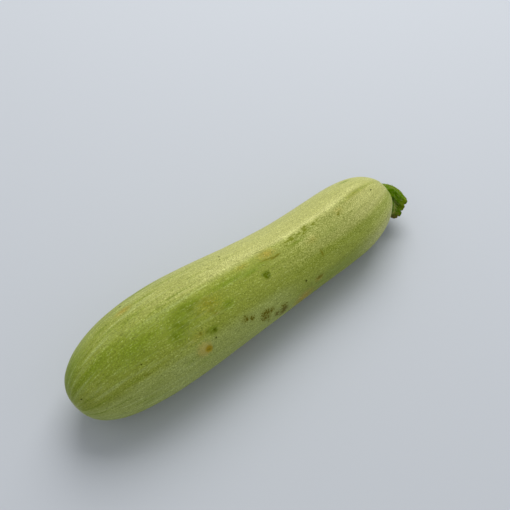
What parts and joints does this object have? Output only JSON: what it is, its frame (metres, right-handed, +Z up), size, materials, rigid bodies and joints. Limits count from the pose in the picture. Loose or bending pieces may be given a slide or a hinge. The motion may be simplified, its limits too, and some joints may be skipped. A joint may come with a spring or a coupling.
{
  "type": "courgette",
  "caption": "Pale green courgette lying on its side, slimmer towards a short ribbed cut stem, with a small corky scar at the blossom end.",
  "frame": {"origin": "below the middle of the outer box, on the surface that the courgette lies on", "axes": "+X along the fruit from the blossom end to the stem end, +Z up from the surface it lies on"},
  "size_m": [0.2254, 0.0556, 0.0543],
  "materials": {
    "skin": "satin",
    "stem": "matt, ribbed, finely hairy"
  },
  "bodies": {
    "root": {"fruit": "skin", "stem": "stem"}
  },
  "joints": []
}
